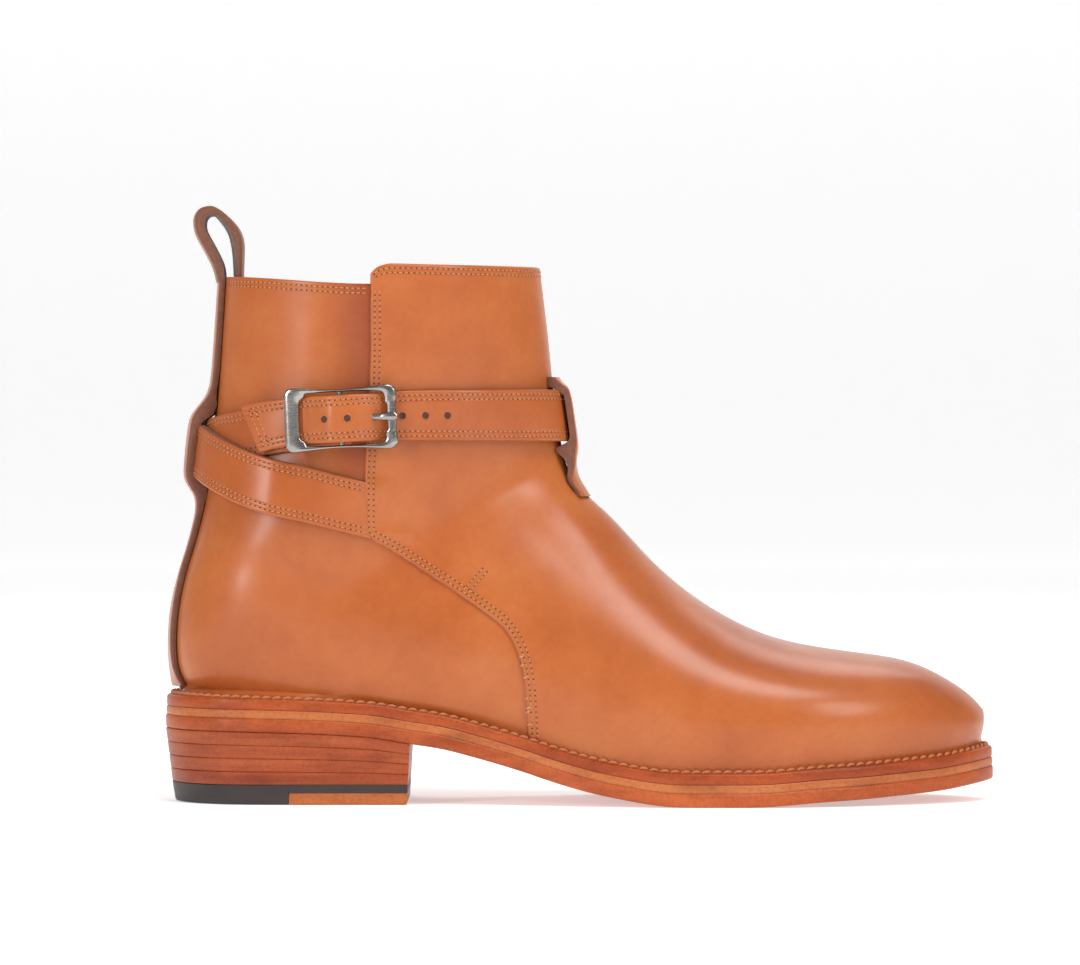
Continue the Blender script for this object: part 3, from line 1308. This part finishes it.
def welt_stitches(look):
    """Thick rope-like stitches round the welt's top."""
    outer, inner, across, width = welt_rings()
    place = outer + across * WELT_STITCH_INSET
    share = np.clip(WELT_STITCH_INSET / np.maximum(width, 1e-6), 0, 1)
    low = midsole_top(outer[:, 0]) + WELT_THICK
    z = low * (1 - share) + welt_top(inner[:, 0]) * share
    path = [((x, y, h + 0.25), (0, 0, 1)) for (x, y), h in zip(place, z)]
    path.append(path[0])
    make_stitches("welt_stitches", [path], look, 3.8, 3.9, 0.75, 0.45, 0.3)


class Look:
    """A new material, with short ways to build it up in front of its shader."""

    def __init__(self, name):
        self.material = bpy.data.materials.new(name)
        self.material.use_nodes = True
        self.tree = self.material.node_tree
        self.shader = self.tree.nodes["Principled BSDF"]

    def put(self, node, values):
        """Sets a node's inputs, or links them where a value is another node's output."""
        for name, value in values.items():
            if isinstance(value, bpy.types.NodeSocket):
                self.tree.links.new(value, node.inputs[name])
            else:
                node.inputs[name].default_value = value

    def node(self, kind, values, **settings):
        node = self.tree.nodes.new("ShaderNode" + kind)
        for name, value in settings.items():
            setattr(node, name, value)
        self.put(node, values)
        return node

    def noise(self, scale, detail, rough=0.6, stretch=None):
        """A noise texture in the boot's own coordinates, in features a metre."""
        source = self.node("TexCoord", {}).outputs["Object"]
        if stretch is not None:
            source = self.node("Mapping", {"Scale": stretch, "Vector": source}).outputs["Vector"]
        values = {"Scale": scale, "Detail": detail, "Roughness": rough, "Vector": source}
        return self.node("TexNoise", values).outputs["Fac"]

    def ramp(self, fac, *stops):
        """A colour ramp: stops are place and colour, or place and a number."""
        band = self.node("ValToRGB", {"Fac": fac})
        while len(band.color_ramp.elements) < len(stops):
            band.color_ramp.elements.new(0.5)
        for element, (place, colour) in zip(band.color_ramp.elements, stops):
            element.position = place
            element.color = (colour if isinstance(colour, tuple) else (colour,) * 3) + (1,)
        return band.outputs["Color"]

    def multiply(self, share, colour, other):
        values = {"Factor": share, "A": colour, "B": other}
        return self.node("Mix", values, data_type="RGBA", blend_type="MULTIPLY").outputs["Result"]

    def finish(self, values, *bumps):
        """Sets the shader and chains bumps: height, distance in metres and strength."""
        self.put(self.shader, values)
        normal = {}
        for height, distance, strength in bumps:
            values = {"Distance": distance, "Strength": strength, "Height": height}
            node = self.node("Bump", values | normal)
            normal = {"Normal": node.outputs["Normal"]}
        self.put(self.shader, normal)
        return self.material


def smooth_leather(name, tones, rough=0.42, burnish=False):
    """Burnished calf: cloudy colour, fine pores and a soft waxed gloss."""
    look = Look(name)
    dark, main, light = tones
    clouds = look.noise(22, 5)
    colour = look.ramp(clouds, (0.28, dark), (0.5, main), (0.72, light))
    fine = look.noise(420, 4)
    colour = look.multiply(0.6, colour, look.ramp(fine, (0.3, (0.9, 0.88, 0.86)), (0.65, WHITE)))
    if burnish:
        colour = burnished(look, colour)
    wear = look.noise(35, 4)
    gloss = look.ramp(wear, (0.3, rough - 0.07), (0.7, rough + 0.08))
    values = {"Base Color": colour, "Roughness": gloss, "Coat Weight": 0.6}
    values |= {"Coat Roughness": 0.27, "Specular IOR Level": 0.12}
    pores = look.noise(1400, 3)
    folds = look.noise(240, 4)
    return look.finish(values, (folds, 0.000132, 0.35), (pores, 0.00006, 0.5))


def burnished(look, colour):
    """Darkens the quarter in the trough beside the flap's edge, above the straps' roots."""
    source = look.node("TexCoord", {}).outputs["Object"]
    parts = look.node("SeparateXYZ", {"Vector": source})
    shares = []
    for axis, low, high in (("X", 0.013, 0.034), ("Z", 0.112, 0.125)):
        values = {"From Min": low, "From Max": high, "Value": parts.outputs[axis]}
        spread = look.node("MapRange", values, interpolation_type="SMOOTHSTEP")
        shares.append(spread.outputs["Result"])
    both = look.node("Math", {}, operation="MULTIPLY")
    for share, socket in zip(shares, both.inputs):
        look.tree.links.new(share, socket)
    tone = look.ramp(both.outputs["Value"], (0.0, WHITE), (1.0, (0.66, 0.46, 0.34)))
    return look.multiply(1.0, colour, tone)


def sole_leather(name, tones, stretch):
    """Dyed sole leather seen at its cut edge: streaks along it, waxed."""
    look = Look(name)
    dark, main, light = tones
    streaks = look.noise(30, 6, 0.65, stretch)
    colour = look.ramp(streaks, (0.3, dark), (0.5, main), (0.7, light))
    fibres = look.noise(900, 3, 0.7)
    flecks = look.ramp(fibres, (0.32, (0.62, 0.52, 0.47)), (0.55, WHITE))
    colour = look.multiply(0.55, colour, flecks)
    patches = look.noise(75, 4, 0.6, (0.5, 0.5, 1.4))
    stains = look.ramp(patches, (0.36, (0.66, 0.54, 0.5)), (0.56, WHITE))
    colour = look.multiply(0.7, colour, stains)
    gloss = look.ramp(streaks, (0.3, 0.37), (0.7, 0.55))
    values = {"Base Color": colour, "Roughness": gloss, "Coat Weight": 0.2}
    values |= {"Coat Roughness": 0.25, "Specular IOR Level": 0.2}
    return look.finish(values, (streaks, 0.0001, 0.6), (fibres, 0.00008, 0.6))


def rough_leather(name, dark, light, rough=0.85, scale=700):
    """Flesh side or lining: matt and fibrous."""
    look = Look(name)
    fibres = look.noise(scale, 5, 0.7)
    colour = look.ramp(fibres, (0.3, dark), (0.7, light))
    values = {"Base Color": colour, "Roughness": rough, "Sheen Weight": 0.15}
    return look.finish(values, (fibres, 0.00025, 0.7))


def rubber(name):
    look = Look(name)
    dust = look.noise(60, 5, 0.6, (0.4, 1, 1.5))
    colour = look.ramp(dust, (0.3, (0.017, 0.011, 0.01)), (0.7, (0.036, 0.024, 0.022)))
    fine = look.noise(1200, 3)
    return look.finish({"Base Color": colour, "Roughness": 0.5}, (fine, 0.00005, 0.5))


def plated_metal(name):
    look = Look(name)
    tint = look.noise(90, 3, 0.5)
    colour = look.ramp(tint, (0.3, (0.26, 0.245, 0.23)), (0.7, (0.42, 0.4, 0.38)))
    scratches = look.noise(300, 4, 0.6, (1, 1, 6))
    gloss = look.ramp(scratches, (0.3, 0.16), (0.7, 0.3))
    values = {"Base Color": colour, "Metallic": 1.0, "Roughness": gloss}
    return look.finish(values, (scratches, 0.00003, 0.4))


def thread(name, dark, light):
    look = Look(name)
    twist = look.noise(1500, 3)
    colour = look.ramp(twist, (0.3, dark), (0.7, light))
    return look.finish({"Base Color": colour, "Roughness": 0.6}, (twist, 0.0001, 0.6))


def plain_stage(name, colour, glow):
    values = {"Base Color": colour + (1,), "Roughness": 0.9, "Specular IOR Level": 0.1}
    values |= {"Emission Color": (1, 1, 1, 1), "Emission Strength": glow}
    return Look(name).finish(values)


def make_floor():
    """A plain pale floor that rises behind the boot into a plain backdrop."""
    profile = [(FLOOR_FRONT, 0.0), (FLOOR_BACK, 0.0)]
    for angle in np.linspace(0, math.pi / 2, 16)[1:]:
        y = FLOOR_BACK + BACKDROP_RADIUS * math.sin(angle)
        profile.append((y, BACKDROP_RADIUS - BACKDROP_RADIUS * math.cos(angle)))
    profile.append((FLOOR_BACK + BACKDROP_RADIUS, BACKDROP_TOP))
    points = [(x, y, z - FLOOR_DROP) for y, z in profile for x in FLOOR_SIDES]
    faces = [(i, i + 1, i + 3, i + 2) for i in range(0, len(points) - 2, 2)]
    mesh = bpy.data.meshes.new("floor")
    mesh.from_pydata(points, [], faces)
    mesh.materials.append(plain_stage("floor_paper", FLOOR_COLOUR, FLOOR_GLOW))
    for face in mesh.polygons:
        face.use_smooth = True
    in_scene("floor", mesh)


def area_light(name, place, target, size, power):
    data = bpy.data.lights.new(name, "AREA")
    data.shape = "RECTANGLE"
    data.size, data.size_y = size
    data.energy = power
    light = in_scene(name, data)
    light.location = place
    aim = Vector(target) - Vector(place)
    light.rotation_euler = aim.to_track_quat("-Z", "Y").to_euler()


def make_light():
    world = bpy.data.worlds.new("studio")
    bpy.context.scene.world = world
    world.use_nodes = True
    background = world.node_tree.nodes["Background"]
    background.inputs["Color"].default_value = (1, 1, 1, 1)
    background.inputs["Strength"].default_value = WORLD_LIGHT
    for row in LIGHTS:
        area_light(*row)


def make_camera():
    data = bpy.data.cameras.new("camera")
    data.lens = CAMERA_LENS
    data.sensor_width = 36.0
    data.clip_start = 0.05
    data.clip_end = 50
    camera = in_scene("camera", data)
    camera.location = CAMERA_PLACE
    camera.rotation_euler = (math.radians(90 - CAMERA_DOWN), 0, 0)
    bpy.context.scene.camera = camera


def make_materials():
    calf = ((0.384, 0.0861, 0.0177), (0.461, 0.117, 0.0268), (0.514, 0.153, 0.0414))
    bridle = ((0.369, 0.0825, 0.0166), (0.438, 0.107, 0.0245), (0.491, 0.135, 0.0335))
    looks = {
        "upper": smooth_leather("calf", calf),
        "quarter": smooth_leather("quarter_calf", calf, burnish=True),
        "strap": smooth_leather("bridle", bridle, 0.4),
        "rubber": rubber("heel_rubber"),
        "metal": plated_metal("nickel"),
        "thread": thread("thread", (0.42, 0.13, 0.04), (0.6, 0.23, 0.085)),
        "welt_thread": thread("welt_thread", (0.36, 0.1, 0.032), (0.52, 0.17, 0.06)),
        "insole": rough_leather("insole", (0.46, 0.25, 0.12), (0.58, 0.34, 0.18), 0.7, 300),
    }
    grain = ((0.184, 0.0552, 0.0158), (0.307, 0.0978, 0.0276), (0.384, 0.135, 0.0434))
    looks["loop"] = smooth_leather("loop_grain", grain, 0.5)
    for key, name, dark, light, rough in ROUGH_LEATHERS:
        looks[key] = rough_leather(name, dark, light, rough)
    for name, dark, main, light, stretch in SOLE_LEATHERS:
        looks[name] = sole_leather(name, (dark, main, light), stretch)
    return looks


def main():
    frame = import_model()
    looks = make_materials()
    make_camera()
    make_light()
    make_floor()
    form = upper_form()
    make_quarters(form, [looks["quarter"], looks["lining"], looks["edge"]])
    base = Surface(form[..., :3])
    vamp = Surface(make_vamp(form, [looks["upper"], looks["lining"], looks["edge"]]))
    strap_leather = [looks["strap"], looks["dark_edge"]]
    wrap_lines = make_strap("wrap_strap", base, WRAP_STRAP, strap_leather, 300, TIP_SLANT)
    short_lines = make_strap("buckle_strap", base, BUCKLE_STRAP, strap_leather, 130)
    rows = strap_rows(base, wrap_lines, 98, 506)
    rows += strap_rows(base, short_lines, 107, 262)
    rows += tip_rows(base, wrap_lines)
    make_stitches("strap_stitches", rows, looks["thread"], STITCH_PITCH, 1.5, 0.3)
    make_holes("strap_needle_holes", rows, looks["hole"], STITCH_PITCH, 0.4, 0.06)
    make_strap_holes(base, looks)
    strip = [looks["strap"], looks["flesh"], looks["dark_edge"]]
    back = (BACK_STRIP, BACK_STRIP_DEPTH, 180, BACK_STRIP_WIDTH)
    make_strip("back_strip", base, *back, strip, 160)
    front = (FRONT_KEEPER, FRONT_KEEPER_DEPTH, 0, FRONT_KEEPER_WIDTH)
    make_strip("front_keeper", base, *front, strip, 110)
    upper_stitches(base, vamp, looks["thread"], looks["hole"])
    edge_nicks(vamp, looks["fray"])
    make_pull_loop(looks)
    make_buckle(base, looks)
    make_sole(looks)
    make_heel(looks)
    make_top_piece(looks)
    make_welt(looks)
    welt_stitches(looks["welt_thread"])
    insole = frame["nodes"]["insole"]
    insole.data.materials.clear()
    insole.data.materials.append(looks["insole"])
    bpy.context.scene.view_settings.view_transform = "Standard"
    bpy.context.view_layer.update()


main()
